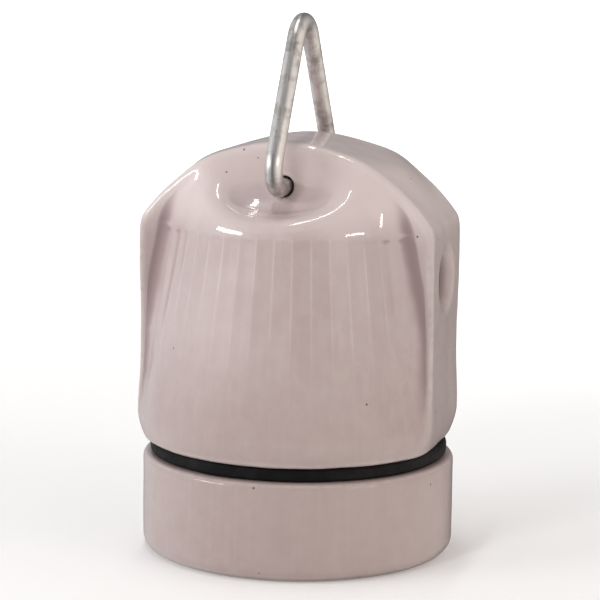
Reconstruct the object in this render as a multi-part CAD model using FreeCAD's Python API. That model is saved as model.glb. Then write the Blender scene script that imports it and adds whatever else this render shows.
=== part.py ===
"""Porcelain heat-lamp fixture: a two-part glazed porcelain lampholder for an E27 lamp, hung by a wire bail.

The frame: +Z is up, the origin is the centre of the lower ring's bottom face, and the saddle that
carries the bail and the two cable entries runs along X.  The bail's legs stand in front of (-Y) and
behind (+Y) the saddle.  All sizes are in millimetres.
"""

import FreeCAD, Part
import math
import os

from FreeCAD import Vector

# ---- driving dimensions ----------------------------------------------------
RING_RADIUS = 30.0            # outside of the screwed lower ring
RING_HEIGHT = 18.8
RING_LIP = 5.0                # thickness of the inward lip at the ring's bottom
RING_MOUTH_RADIUS = 19.5      # clears the neck of a reflector heat lamp
RING_BORE_RADIUS = 26.2       # root of the ring's coarse porcelain thread
RING_TOP_ROUND = 1.2
RING_FOOT_ROUND = 2.5

GASKET_HEIGHT = 2.7           # the black joint seen between ring and housing
GASKET_RADIUS = 28.7
GASKET_EASE = 0.05            # left between the rubber and the neck it grips

BODY_RADIUS = 31.0            # widest part of the upper housing, just above its rim
RIM_RADIUS = 28.9             # bottom edge of the housing, after its rounding
RIM_ROUND_HEIGHT = 4.0
SHOULDER_RADIUS = 24.4        # where the fluted cone's side and the crown's side would meet
SHOULDER_Z = 63.8
SHOULDER_ROUND = 1.3          # the shoulder is rounded this far to each side
CREST_RADIUS = 20.8           # rim of the scoops beside the saddle
CREST_Z = 72.9
CROWN_RADIUS = 18.6           # where the cone's crown meets the saddle's top edge
CROWN_Z = 76.0

FLUTES = 45                   # flats round the whole circle; the saddle covers some
FLUTE_DEPTH = 0.25            # at the shoulder; the flats run out to nothing lower down
FLUTE_LOW_Z = 34.0

CONE_CUT_Z = 46.0             # above this the cone lies wholly inside the saddle's ends

SADDLE_THICKNESS = 24.4       # along Y
SADDLE_HALF_LENGTH = 28.8     # to the flat side faces, along X
SADDLE_ARC_RADIUS = 34.0      # the saddle's top, seen from the front
SADDLE_TOP_Z = 79.4
SADDLE_EDGE_ROUND = 1.8
SADDLE_FOOT_ROUND = 3.0       # bottom of each flat end, at the rim

SCOOP_RADIUS = 15.0           # hollow round each mouth of the bail's hole
SCOOP_HALF_LENGTH = 3.5       # straight part of the hollow, along X
SCOOP_Y = 22.0
SCOOP_Z = 81.0

NECK_RADIUS = 25.0            # root of the neck's thread, below the rim
NECK_BOTTOM_Z = 8.0
CAVITY_RADIUS = 20.5
CAVITY_SHOULDER_Z = 58.5
CAVITY_ROOF_Z = 61.5

ENTRY_Z = 53.6                # the two cable entries, along X
ENTRY_RADIUS = 4.5
ENTRY_MOUTH_RADIUS = 7.6
ENTRY_FUNNEL_DEPTH = 4.0

WIRE_RADIUS = 1.7             # galvanised wire of the bail
BAIL_HOLE_RADIUS = 2.05
BAIL_Z = 71.3                 # the bail's hinge line
BAIL_LEG_ANGLE = math.radians(32.6)   # each leg's lean from the vertical
BAIL_APEX_Z = 101.2           # centre of the wire at the top
BAIL_APEX_RADIUS = 6.1
BAIL_FOOT_RADIUS = 4.0        # bend from a leg into its hole
BAIL_END_Y = 4.0              # each wire end stops this far from the middle

CORE_RADIUS = 20.2            # porcelain contact block inside the housing
CORE_FLANGE_RADIUS = 24.6
CORE_TOP_Z = 36.0
POCKET_RADIUS = 14.6          # pocket for the screw shell
POCKET_ROOF_Z = 30.0
KEY_WIDTH = 4.0
KEY_HEIGHT = 1.8
KEY_CLEARANCE = 0.2

THREAD_MINOR_RADIUS = 12.2    # E27, inside of the shell
THREAD_MAJOR_RADIUS = 13.3
THREAD_PITCH = 25.4 / 7
THREAD_TURNS = 5
THREAD_START_Z = 8.2
THREAD_LAND = 1.0
SHEET = 0.4                   # shell and washer metal
SHELL_BOTTOM_Z = 6.6
SHELL_NECK_RADIUS = 13.3
SHELL_OPENING_RADIUS = 9.0    # hole in the shell's turned-in top

CONTACT_THICKNESS = 0.5       # centre contact, spring bronze
CONTACT_WIDTH = 5.0
CONTACT_TAB = (-6.9, -2.0)    # fixed tab, along X; its inner end is the tongue's hinge line
CONTACT_TIP = (1.2, 27.5)     # lowest point of the tongue, X and Z
CONTACT_END = (4.0, 28.5)
CONTACT_SCREW_X = -4.9

TERMINAL_SIZE = (11.0, 8.0, 9.0)
LIVE_TERMINAL_X = -8.2        # block centres
NEUTRAL_TERMINAL_X = 9.8
LIVE_CLAMP_X = -10.6
NEUTRAL_CLAMP_X = 7.4
WIRE_HOLE_RADIUS = 1.7
WIRE_HOLE_HEIGHT = 5.6        # above the block's foot
SHELL_SCREW_CIRCLE = 11.2     # distance of the shell's screws from the axis
SHELL_SCREW_ANGLE = math.radians(125)  # of the screw that ends in a nut; the other is on +X

SCREW_RADIUS = 1.45           # M3, thread left plain
TAPPED_RADIUS = 1.5
SHEET_HOLE_RADIUS = 1.6
SCREW_CLEARANCE_RADIUS = 1.7
CLAMP_SCREW_RADIUS = 1.4
WASHER_THICKNESS = 0.6

POST_RADIUS = 3.6             # porcelain posts of the cord grip
POST_Y = 14.6
POST_TOP_Z = 49.0
POST_HOLE_RADIUS = 1.3
GRIP_SCREW_RADIUS = 1.25
STRAP_THICKNESS = 1.4
STRAP_WIDTH = 7.0
STRAP_SAG = 2.4               # the strap's middle dips this far to bear on the cord
STRAP_FOOT = 5.2              # half of the flat part on each post

UP = Vector(0, 0, 1)
RIM_Z = RING_HEIGHT + GASKET_HEIGHT
HALF_SADDLE = SADDLE_THICKNESS / 2
ARC_CENTRE_Z = SADDLE_TOP_Z - SADDLE_ARC_RADIUS
LUG_TOP_Z = ARC_CENTRE_Z + math.sqrt(SADDLE_ARC_RADIUS**2 - SADDLE_HALF_LENGTH**2)
BIG = 100.0                   # larger than the whole object


# ---- small helpers ---------------------------------------------------------
def cylinder(radius, z0, z1, x=0.0, y=0.0):
    return Part.makeCylinder(radius, z1 - z0, Vector(x, y, z0), UP)


def tube(inner, outer, z0, z1, x=0.0, y=0.0):
    return cylinder(outer, z0, z1, x, y).cut(cylinder(inner, z0 - 1, z1 + 1, x, y))


def block(x0, x1, y0, y1, z0, z1):
    return Part.makeBox(x1 - x0, y1 - y0, z1 - z0, Vector(x0, y0, z0))


def line(a, b):
    return Part.LineSegment(a, b).toShape()


def arc(a, middle, b):
    return Part.Arc(a, middle, b).toShape()


def revolved(edges):
    """A solid turned about Z from a closed outline in the XZ plane."""
    return Part.Face(Part.Wire(edges)).revolve(Vector(0, 0, 0), UP, 360)


def turned(points):
    """A solid turned about Z from a closed polygon of (radius, z)."""
    corners = [Vector(r, 0, z) for r, z in points]
    return Part.Face(Part.makePolygon(corners + corners[:1])).revolve(Vector(0, 0, 0), UP, 360)


def ring_edges(solid, radius, z):
    """The circular edges about Z at this radius and height."""
    found = []
    for edge in solid.Edges:
        box = edge.BoundBox
        if abs(box.ZMin - z) < 0.01 and abs(box.ZMax - z) < 0.01 and abs(box.XMax - radius) < 0.01:
            found.append(edge)
    return found


def screw(x, y, head_z, tip_z, shank_radius, head_radius, head_height):
    """A slotted cheese-head screw on a vertical axis; the head lies outside head_z, away from the tip."""
    way = 1 if head_z > tip_z else -1
    head_end = head_z + way * head_height
    low, high = sorted((head_z, head_end))
    head = cylinder(head_radius, low, high, x, y)
    low, high = sorted((tip_z, head_z))
    solid = head.fuse(cylinder(shank_radius, low, high, x, y))
    slot_depth = head_height * 0.45
    low, high = sorted((head_end - way * slot_depth, head_end + way))
    half = head_radius * 0.14
    slot = block(-head_radius * 1.1, head_radius * 1.1, -half, half, low, high)
    slot.rotate(Vector(0, 0, 0), UP, 35)
    slot.translate(Vector(x, y, 0))
    return solid.cut(slot).removeSplitter()


def far_shell_screw_place():
    return SHELL_SCREW_CIRCLE * math.cos(SHELL_SCREW_ANGLE), SHELL_SCREW_CIRCLE * math.sin(SHELL_SCREW_ANGLE)


# ---- porcelain -------------------------------------------------------------
def lower_ring():
    lip_inner_chamfer = 2.0
    outline = [
        (RING_MOUTH_RADIUS, lip_inner_chamfer),
        (RING_MOUTH_RADIUS + lip_inner_chamfer, 0),
        (RING_RADIUS, 0),
        (RING_RADIUS, RING_HEIGHT),
        (RING_BORE_RADIUS, RING_HEIGHT),
        (RING_BORE_RADIUS, RING_LIP),
        (RING_MOUTH_RADIUS, RING_LIP),
    ]
    ring = turned(outline)
    ring = ring.makeFillet(RING_FOOT_ROUND, ring_edges(ring, RING_RADIUS, 0))
    return ring.makeFillet(RING_TOP_ROUND, ring_edges(ring, RING_RADIUS, RING_HEIGHT))


def saddle():
    """The upright slab across the housing: flat ends, and a top curved about Y."""
    y = -HALF_SADDLE
    left_foot = Vector(-SADDLE_HALF_LENGTH, y, RIM_Z)
    left_top = Vector(-SADDLE_HALF_LENGTH, y, LUG_TOP_Z)
    crown = Vector(0, y, SADDLE_TOP_Z)
    right_top = Vector(SADDLE_HALF_LENGTH, y, LUG_TOP_Z)
    right_foot = Vector(SADDLE_HALF_LENGTH, y, RIM_Z)
    outline = Part.Wire([
        line(left_foot, left_top),
        arc(left_top, crown, right_top),
        line(right_top, right_foot),
        line(right_foot, left_foot),
    ])
    slab = Part.Face(outline).extrude(Vector(0, SADDLE_THICKNESS, 0))
    top_edges = [
        edge for edge in slab.Edges
        if abs(abs(edge.BoundBox.YMin) - HALF_SADDLE) < 0.01
        and edge.BoundBox.YLength < 0.01
        and edge.BoundBox.ZMax > LUG_TOP_Z + 1
        and edge.BoundBox.XLength > SADDLE_HALF_LENGTH
    ]
    upright_edges = [
        edge for edge in slab.Edges
        if edge.BoundBox.ZLength > 20 and edge.BoundBox.XLength < 0.01
    ]
    return slab.makeFillet(SADDLE_EDGE_ROUND, top_edges + upright_edges)


def cone_radius(z):
    """The plain cone's radius between the belly and the shoulder."""
    belly_z = RIM_Z + RIM_ROUND_HEIGHT
    return BODY_RADIUS + (SHOULDER_RADIUS - BODY_RADIUS) * (z - belly_z) / (SHOULDER_Z - belly_z)


def crown_radius(z):
    return SHOULDER_RADIUS + (CREST_RADIUS - SHOULDER_RADIUS) * (z - SHOULDER_Z) / (CREST_Z - SHOULDER_Z)


def flat_sided(apothem, z):
    """A regular polygon with one flat square to the front, as a wire at height z."""
    step = 2 * math.pi / FLUTES
    radius = apothem / math.cos(step / 2)
    corners = []
    for k in range(FLUTES):
        angle = -math.pi / 2 + (k + 0.5) * step
        corners.append(Vector(radius * math.cos(angle), radius * math.sin(angle), z))
    return Part.makePolygon(corners + corners[:1])


def plain_cone():
    low_z = SHOULDER_Z - SHOULDER_ROUND
    high_z = SHOULDER_Z + SHOULDER_ROUND
    rim_low = Vector(RIM_RADIUS, 0, RIM_Z)
    belly = Vector(BODY_RADIUS, 0, RIM_Z + RIM_ROUND_HEIGHT)
    rim_middle = Vector(
        RIM_RADIUS + (BODY_RADIUS - RIM_RADIUS) * 0.72, 0, RIM_Z + RIM_ROUND_HEIGHT * 0.32
    )
    below_shoulder = Vector(cone_radius(low_z), 0, low_z)
    on_shoulder = Vector((cone_radius(low_z) + crown_radius(high_z)) / 2 + 0.06, 0, SHOULDER_Z)
    above_shoulder = Vector(crown_radius(high_z), 0, high_z)
    crest = Vector(CREST_RADIUS, 0, CREST_Z)
    crown = Vector(CROWN_RADIUS, 0, CROWN_Z)
    axis_top = Vector(0, 0, CROWN_Z)
    axis_low = Vector(0, 0, RIM_Z)
    return revolved([
        line(axis_low, rim_low),
        arc(rim_low, rim_middle, belly),
        line(belly, below_shoulder),
        arc(below_shoulder, on_shoulder, above_shoulder),
        line(above_shoulder, crest),
        line(crest, crown),
        line(crown, axis_top),
        line(axis_top, axis_low),
    ])


def fluted_cone():
    """The round front and back of the housing: shallow flats below the shoulder."""
    top_z = SHOULDER_Z - SHOULDER_ROUND
    flats = Part.makeLoft([
        flat_sided(cone_radius(FLUTE_LOW_Z), FLUTE_LOW_Z),
        flat_sided(cone_radius(top_z) - FLUTE_DEPTH, top_z),
    ], True, True)
    kept = flats.fuse(cylinder(BIG / 2, RIM_Z - 1, FLUTE_LOW_Z)).fuse(cylinder(BIG / 2, top_z, BIG))
    cone = plain_cone().common(kept)
    # between the saddle's faces the cone stays below the saddle's own top
    return cone.cut(block(-BIG, BIG, -HALF_SADDLE, HALF_SADDLE, CONE_CUT_Z, BIG))


def scoop():
    """The hollow in front of the saddle (-Y) where the bail enters, open to the front and the top."""
    start = Vector(-SCOOP_HALF_LENGTH, -SCOOP_Y, SCOOP_Z)
    end = Vector(SCOOP_HALF_LENGTH, -SCOOP_Y, SCOOP_Z)
    hollow = Part.makeCylinder(SCOOP_RADIUS, 2 * SCOOP_HALF_LENGTH, start, Vector(1, 0, 0))
    for centre in (start, end):
        hollow = hollow.fuse(Part.makeSphere(SCOOP_RADIUS, centre))
    return hollow.cut(block(-BIG, BIG, -HALF_SADDLE, BIG, 0, BIG))


def flat_ends():
    """The slab of space between the two flat ends, rounded in at their feet."""
    space = block(-SADDLE_HALF_LENGTH, SADDLE_HALF_LENGTH, -BIG, BIG, RIM_Z, BIG)
    feet = [
        edge for edge in space.Edges
        if edge.BoundBox.YLength > BIG and edge.BoundBox.ZMax < RIM_Z + 0.01
    ]
    return space.makeFillet(SADDLE_FOOT_ROUND, feet)


def cable_entry(side):
    """A cable's way in from one end of the saddle: a funnel, then a plain bore to the cavity."""
    out = Vector(side, 0, 0)
    bore = Part.makeCylinder(ENTRY_RADIUS, BODY_RADIUS, Vector(0, 0, ENTRY_Z), out)
    funnel_start = Vector(side * (SADDLE_HALF_LENGTH - ENTRY_FUNNEL_DEPTH), 0, ENTRY_Z)
    slope = (ENTRY_MOUTH_RADIUS - ENTRY_RADIUS) / ENTRY_FUNNEL_DEPTH
    past = 4.0
    funnel = Part.makeCone(
        ENTRY_RADIUS, ENTRY_MOUTH_RADIUS + slope * past, ENTRY_FUNNEL_DEPTH + past, funnel_start, out
    )
    return bore.fuse(funnel)


def key_blocks(clearance):
    """Two keys on the contact block's flange, which stop it turning in the housing's neck."""
    half = KEY_WIDTH / 2 + clearance
    top = NECK_BOTTOM_Z + KEY_HEIGHT + clearance
    reach = CORE_FLANGE_RADIUS if clearance == 0 else NECK_RADIUS + 1
    inner = CORE_RADIUS - 1
    return [
        block(-half, half, inner, reach, NECK_BOTTOM_Z - clearance, top),
        block(-half, half, -reach, -inner, NECK_BOTTOM_Z - clearance, top),
    ]


def upper_housing():
    shell = saddle().fuse(fluted_cone()).common(flat_ends())
    front_scoop = scoop()
    back_scoop = front_scoop.copy()
    back_scoop.rotate(Vector(0, 0, 0), UP, 180)
    shell = shell.cut(front_scoop).cut(back_scoop)
    shell = shell.fuse(cylinder(NECK_RADIUS, NECK_BOTTOM_Z, RIM_Z + 1))
    cavity = turned([
        (0, NECK_BOTTOM_Z - 1),
        (CAVITY_RADIUS, NECK_BOTTOM_Z - 1),
        (CAVITY_RADIUS, CAVITY_SHOULDER_Z),
        (CAVITY_RADIUS - (CAVITY_ROOF_Z - CAVITY_SHOULDER_Z), CAVITY_ROOF_Z),
        (0, CAVITY_ROOF_Z),
    ])
    bail_hole = Part.makeCylinder(BAIL_HOLE_RADIUS, BIG, Vector(0, -BIG / 2, BAIL_Z), Vector(0, 1, 0))
    cuts = [cavity, bail_hole, cable_entry(1), cable_entry(-1)] + key_blocks(KEY_CLEARANCE)
    for cutter in cuts:
        shell = shell.cut(cutter)
    return shell.removeSplitter()


def socket_core():
    core = cylinder(CORE_RADIUS, RING_LIP, CORE_TOP_Z)
    core = core.fuse(cylinder(CORE_FLANGE_RADIUS, RING_LIP, NECK_BOTTOM_Z))
    for key in key_blocks(0):
        core = core.fuse(key)
    core = core.cut(cylinder(POCKET_RADIUS, 0, POCKET_ROOF_Z))
    barrier_half = 1.2
    barrier_top_z = CORE_TOP_Z + 6
    core = core.fuse(block(-barrier_half, barrier_half, -POST_Y, POST_Y, CORE_TOP_Z - 1, barrier_top_z))
    for side in (-1, 1):
        core = core.fuse(cylinder(POST_RADIUS, CORE_TOP_Z - 1, POST_TOP_Z, 0, side * POST_Y))
        core = core.cut(cylinder(POST_HOLE_RADIUS, POST_TOP_Z - 9, POST_TOP_Z + 1, 0, side * POST_Y))
    # room above the springing tongue, so that a lamp's cap can push it up
    recess_half = CONTACT_WIDTH / 2 + 1.5
    recess_end = CONTACT_END[0] + 2.0
    recess_low = POCKET_ROOF_Z - 1
    recess = block(
        CONTACT_TAB[1] + 0.3, recess_end, -recess_half, recess_half, recess_low, POCKET_ROOF_Z + 1.6
    )
    core = core.cut(recess)
    for x, y in ((CONTACT_SCREW_X, 0), (SHELL_SCREW_CIRCLE, 0), far_shell_screw_place()):
        core = core.cut(cylinder(SCREW_CLEARANCE_RADIUS, recess_low, CORE_TOP_Z + 1, x, y))
    return core.removeSplitter()


# ---- gasket and bail -------------------------------------------------------
def sealing_gasket():
    """A rubber ring pushed onto the neck, where it stays when the lower ring comes off."""
    gasket = tube(NECK_RADIUS + GASKET_EASE, GASKET_RADIUS, RING_HEIGHT, RIM_Z)
    edges = ring_edges(gasket, GASKET_RADIUS, RING_HEIGHT) + ring_edges(gasket, GASKET_RADIUS, RIM_Z)
    return gasket.makeFillet(0.5, edges)


def bail():
    """The wire's centreline lies in the YZ plane: end, foot bend, leg, apex bend, and the same back."""
    lean = BAIL_LEG_ANGLE
    apex_centre_z = BAIL_APEX_Z - BAIL_APEX_RADIUS
    top_y = BAIL_APEX_RADIUS * math.cos(lean)
    top_z = apex_centre_z + BAIL_APEX_RADIUS * math.sin(lean)
    # the leg's line meets the hinge line at foot_y; the foot bend is tangent to both
    foot_y = top_y + (top_z - BAIL_Z) * math.tan(lean)
    tangent = BAIL_FOOT_RADIUS * math.tan((math.pi / 2 + lean) / 2)
    bend_y = foot_y - tangent
    leg_y = foot_y - tangent * math.sin(lean)
    leg_z = BAIL_Z + tangent * math.cos(lean)
    middle_angle = (-math.pi / 2 + lean) / 2
    middle_y = bend_y + BAIL_FOOT_RADIUS * math.cos(middle_angle)
    middle_z = BAIL_Z + BAIL_FOOT_RADIUS + BAIL_FOOT_RADIUS * math.sin(middle_angle)

    def side(s):
        return {
            "end": Vector(0, s * BAIL_END_Y, BAIL_Z),
            "bend": Vector(0, s * bend_y, BAIL_Z),
            "middle": Vector(0, s * middle_y, middle_z),
            "leg": Vector(0, s * leg_y, leg_z),
            "top": Vector(0, s * top_y, top_z),
        }

    front, back = side(-1), side(1)
    path = Part.Wire([
        line(front["end"], front["bend"]),
        arc(front["bend"], front["middle"], front["leg"]),
        line(front["leg"], front["top"]),
        arc(front["top"], Vector(0, 0, BAIL_APEX_Z), back["top"]),
        line(back["top"], back["leg"]),
        arc(back["leg"], back["middle"], back["bend"]),
        line(back["bend"], back["end"]),
    ])
    section = Part.Wire(Part.makeCircle(WIRE_RADIUS, front["end"], Vector(0, -1, 0)))
    return path.makePipeShell([section], True, True)


# ---- metalwork -------------------------------------------------------------
def screw_shell():
    """The E27 screw shell as turned rings: a land at the minor radius and one at the major per pitch."""
    inner = [(SHELL_NECK_RADIUS, SHELL_BOTTOM_Z)]
    slope = (THREAD_PITCH - 2 * THREAD_LAND) / 2
    for turn in range(THREAD_TURNS):
        z = THREAD_START_Z + turn * THREAD_PITCH
        inner += [
            (THREAD_MINOR_RADIUS, z),
            (THREAD_MINOR_RADIUS, z + THREAD_LAND),
            (THREAD_MAJOR_RADIUS, z + THREAD_LAND + slope),
            (THREAD_MAJOR_RADIUS, z + 2 * THREAD_LAND + slope),
        ]
    top = POCKET_ROOF_Z - SHEET
    inner += [(SHELL_NECK_RADIUS, top), (SHELL_OPENING_RADIUS, top)]
    outer = [(SHELL_OPENING_RADIUS, POCKET_ROOF_Z), (SHELL_NECK_RADIUS + SHEET, POCKET_ROOF_Z)]
    outer += [(r + SHEET, z) for r, z in reversed(inner[:-2])]
    shell = turned(inner + outer)
    for x, y in ((SHELL_SCREW_CIRCLE, 0), far_shell_screw_place()):
        shell = shell.cut(cylinder(SHEET_HOLE_RADIUS, top - 1, POCKET_ROOF_Z + 1, x, y))
    return shell


def strip(points, width, thickness):
    """A bent strip across Y whose lower side follows points of (x, z)."""
    low = [Vector(x, -width / 2, z) for x, z in points]
    high = [Vector(x, -width / 2, z + thickness) for x, z in reversed(points)]
    face = Part.Face(Part.makePolygon(low + high + low[:1]))
    return face.extrude(Vector(0, width, 0))


def centre_contact_tab():
    z = POCKET_ROOF_Z - CONTACT_THICKNESS
    tab = block(CONTACT_TAB[0], CONTACT_TAB[1], -CONTACT_WIDTH / 2, CONTACT_WIDTH / 2, z, POCKET_ROOF_Z)
    return tab.cut(cylinder(SHEET_HOLE_RADIUS, z - 1, POCKET_ROOF_Z + 1, CONTACT_SCREW_X, 0))


def centre_contact_tongue():
    root = (CONTACT_TAB[1], POCKET_ROOF_Z - CONTACT_THICKNESS)
    return strip([root, CONTACT_TIP, CONTACT_END], CONTACT_WIDTH, CONTACT_THICKNESS)


def terminal_block(centre_x, clamp_x, foot_screw_x):
    length, width, height = TERMINAL_SIZE
    brass = block(
        centre_x - length / 2, centre_x + length / 2, -width / 2, width / 2,
        CORE_TOP_Z, CORE_TOP_Z + height,
    )
    z = CORE_TOP_Z + WIRE_HOLE_HEIGHT
    wire_start = Vector(clamp_x, -width / 2 - 1, z)
    brass = brass.cut(Part.makeCylinder(WIRE_HOLE_RADIUS, width + 2, wire_start, Vector(0, 1, 0)))
    brass = brass.cut(cylinder(TAPPED_RADIUS, z, CORE_TOP_Z + height + 1, clamp_x, 0))
    return brass.cut(cylinder(TAPPED_RADIUS, CORE_TOP_Z - 1, CORE_TOP_Z + 3.4, foot_screw_x, 0))


def clamp_screw(clamp_x):
    top = CORE_TOP_Z + TERMINAL_SIZE[2]
    tip = CORE_TOP_Z + WIRE_HOLE_HEIGHT + 0.5
    return screw(clamp_x, 0, top + 1.4, tip, CLAMP_SCREW_RADIUS, 2.9, 2.2)


def pressure_plate(clamp_x):
    """The small plate under a clamping screw that presses the conductor without cutting it."""
    low = CORE_TOP_Z + WIRE_HOLE_HEIGHT - 0.1
    return block(clamp_x - 1.2, clamp_x + 1.2, -3.2, 3.2, low, low + 0.6)


def shell_nut():
    x, y = far_shell_screw_place()
    corner_radius = 2.9
    height = 2.4
    low = CORE_TOP_Z + WASHER_THICKNESS
    corners = []
    for k in range(6):
        angle = k * math.pi / 3
        corners.append(Vector(x + corner_radius * math.cos(angle), y + corner_radius * math.sin(angle), low))
    nut = Part.Face(Part.makePolygon(corners + corners[:1])).extrude(Vector(0, 0, height))
    return nut.cut(cylinder(TAPPED_RADIUS, low - 1, low + height + 1, x, y))


def shell_washer():
    x, y = far_shell_screw_place()
    return tube(SCREW_CLEARANCE_RADIUS, 3.1, CORE_TOP_Z, CORE_TOP_Z + WASHER_THICKNESS, x, y)


def cord_grip_strap():
    """A pressed steel strap across the two posts, dipped in the middle."""
    end = POST_Y + STRAP_FOOT * 0.75
    slope_start = POST_Y - STRAP_FOOT
    slope_end = slope_start - 3.0
    outline = [
        (-end, 0), (-slope_start, 0), (-slope_end, -STRAP_SAG),
        (slope_end, -STRAP_SAG), (slope_start, 0), (end, 0),
    ]
    low = [Vector(-STRAP_WIDTH / 2, y, POST_TOP_Z + z) for y, z in outline]
    high = [Vector(-STRAP_WIDTH / 2, y, POST_TOP_Z + STRAP_THICKNESS + z) for y, z in reversed(outline)]
    strap = Part.Face(Part.makePolygon(low + high + low[:1])).extrude(Vector(STRAP_WIDTH, 0, 0))
    for side in (-1, 1):
        strap = strap.cut(cylinder(SCREW_CLEARANCE_RADIUS, POST_TOP_Z - 1, POST_TOP_Z + 5, 0, side * POST_Y))
    return strap


def cord_grip_screws():
    head_z = POST_TOP_Z + STRAP_THICKNESS
    screws = []
    for side in (-1, 1):
        screws.append(screw(0, side * POST_Y, head_z, POST_TOP_Z - 8, GRIP_SCREW_RADIUS, 2.9, 2.2))
    return Part.makeCompound(screws)


def contact_screw():
    """Holds the centre contact's tab and the live terminal, from below."""
    head_z = POCKET_ROOF_Z - CONTACT_THICKNESS
    return screw(CONTACT_SCREW_X, 0, head_z, CORE_TOP_Z + 3.0, SCREW_RADIUS, 2.3, 1.5)


def shell_screw(x, y, tip_z):
    return screw(x, y, POCKET_ROOF_Z - SHEET, tip_z, SCREW_RADIUS, 1.95, 1.4)


def main():
    nodes = {
        "lower_ring": lower_ring(),
        "upper_housing": upper_housing(),
        "socket_core": socket_core(),
        "sealing_gasket": sealing_gasket(),
        "bail": bail(),
        "screw_shell": screw_shell(),
        "centre_contact_tab": centre_contact_tab(),
        "centre_contact_tongue": centre_contact_tongue(),
        "centre_contact_screw": contact_screw(),
        "live_terminal": terminal_block(LIVE_TERMINAL_X, LIVE_CLAMP_X, CONTACT_SCREW_X),
        "live_clamp_screw": clamp_screw(LIVE_CLAMP_X),
        "live_pressure_plate": pressure_plate(LIVE_CLAMP_X),
        "neutral_terminal": terminal_block(NEUTRAL_TERMINAL_X, NEUTRAL_CLAMP_X, SHELL_SCREW_CIRCLE),
        "neutral_clamp_screw": clamp_screw(NEUTRAL_CLAMP_X),
        "neutral_pressure_plate": pressure_plate(NEUTRAL_CLAMP_X),
        "shell_screw_neutral": shell_screw(SHELL_SCREW_CIRCLE, 0, CORE_TOP_Z + 3.0),
        "shell_screw_far": shell_screw(*far_shell_screw_place(), CORE_TOP_Z + 3.6),
        "shell_washer": shell_washer(),
        "shell_nut": shell_nut(),
        "cord_grip_strap": cord_grip_strap(),
        "cord_grip_screws": cord_grip_screws(),
    }
    os.makedirs("parts", exist_ok=True)
    for name, shape in nodes.items():
        solids = shape.Solids
        print(f"{name}: {len(solids)} solid(s), valid {shape.isValid()}, {shape.Volume:.1f} mm3")
        shape.exportStep(f"parts/{name}.step")


main()
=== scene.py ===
import math

import bpy
import numpy as np
from mathutils import Matrix, Vector


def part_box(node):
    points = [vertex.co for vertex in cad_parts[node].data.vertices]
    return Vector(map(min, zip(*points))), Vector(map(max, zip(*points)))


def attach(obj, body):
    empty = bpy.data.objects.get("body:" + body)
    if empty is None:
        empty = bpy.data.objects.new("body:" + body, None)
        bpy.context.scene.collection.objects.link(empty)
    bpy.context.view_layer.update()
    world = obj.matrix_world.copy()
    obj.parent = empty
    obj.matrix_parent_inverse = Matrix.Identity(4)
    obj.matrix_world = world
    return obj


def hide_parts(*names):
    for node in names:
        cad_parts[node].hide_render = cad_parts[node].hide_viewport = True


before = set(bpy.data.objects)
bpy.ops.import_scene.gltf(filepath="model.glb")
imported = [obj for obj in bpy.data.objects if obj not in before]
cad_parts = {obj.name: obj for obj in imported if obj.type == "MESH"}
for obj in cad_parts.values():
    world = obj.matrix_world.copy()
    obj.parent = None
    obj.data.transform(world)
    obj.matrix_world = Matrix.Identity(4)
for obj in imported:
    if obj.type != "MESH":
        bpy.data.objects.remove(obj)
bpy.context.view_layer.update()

# Lengths below are in millimetres, in the CAD's frame; meshes are scaled to metres as they are made.
MM = 0.001

RING_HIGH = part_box("lower_ring")[1]
BODY_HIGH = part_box("upper_housing")[1]
GASKET_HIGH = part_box("sealing_gasket")[1]
BAIL_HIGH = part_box("bail")[1]
SHELL_LOW, SHELL_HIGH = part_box("screw_shell")

RING_RADIUS = RING_HIGH[0] / MM
RING_TOP = RING_HIGH[2] / MM
GASKET_RADIUS = GASKET_HIGH[0] / MM
RIM = GASKET_HIGH[2] / MM
BODY_TOP = BODY_HIGH[2] / MM
BODY_RADIUS = BODY_HIGH[1] / MM
END_X = BODY_HIGH[0] / MM

# the housing's round front and back, as (radius, height) where they are pairs
SHOULDER = 63.8
CONE_FOOT, CONE_HEAD = (BODY_RADIUS, RIM + 4), (24.2, SHOULDER)
CONE_TAPER = 0.172
CROWN_FOOT, CROWN_HEAD = (24.25, SHOULDER), (22.0, 70.5)
CAP_FOOT, CAP_HEAD = (22.7, 69.8), (18.9, 74.4)
DOME_TOP = 75.2
FLUTE_STEP = 2 * math.pi / 45

# its saddle, with half its thickness, and the hollows, the bail's hole and the cable entries
HALF_SADDLE = 12.2
ARC_RADIUS = 34.0
COVE_DEPTH, COVE_WIDTH = 1.2, 2.6
HOLLOW_Y, HOLLOW_Z = 20.5, 80.9
HOLLOW_RADIUS, HOLLOW_STRETCH = 14.5, 1.35
BAIL_Z, BAIL_HOLE_RADIUS = 71.3, 1.95
ENTRY_Z, ENTRY_RADIUS = 53.6, 4.5

# its neck and chamber
NECK_RADIUS, NECK_FOOT = 25.0, 8.0
THREAD_PITCH = 4.0
CHAMBER_RADIUS, CHAMBER_TOP, CHAMBER_CHAMFER = 20.5, 61.5, 3.0

# the contact block
CORE_RADIUS, CORE_FOOT, CORE_TOP = 20.2, 5.0, 36.0
FLANGE_RADIUS, FLANGE_TOP = 24.6, 8.0
POST_Y, POST_RADIUS, POST_TOP = 14.6, 3.6, 49.0
POCKET_RADIUS, POCKET_TOP = 14.6, 30.0
CORE_HOLE_RADIUS = 1.7

# the ring, the gasket and the wire
RING_BORE, RING_MOUTH, RING_FLOOR = 26.2, 19.5, 5.0
GASKET_BORE = 25.05
WIRE_RADIUS = 1.7


# ---- distance fields ---------------------------------------------------------
def smin(a, b, k):
    """The union of two fields, with a soft inner corner about k wide."""
    h = np.maximum(k - np.abs(a - b), 0) / k
    return np.minimum(a, b) - h * h * k / 4


def smax(a, b, k):
    """The overlap of two fields, with a soft outer edge about k wide."""
    return -smin(-a, -b, k)


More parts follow.
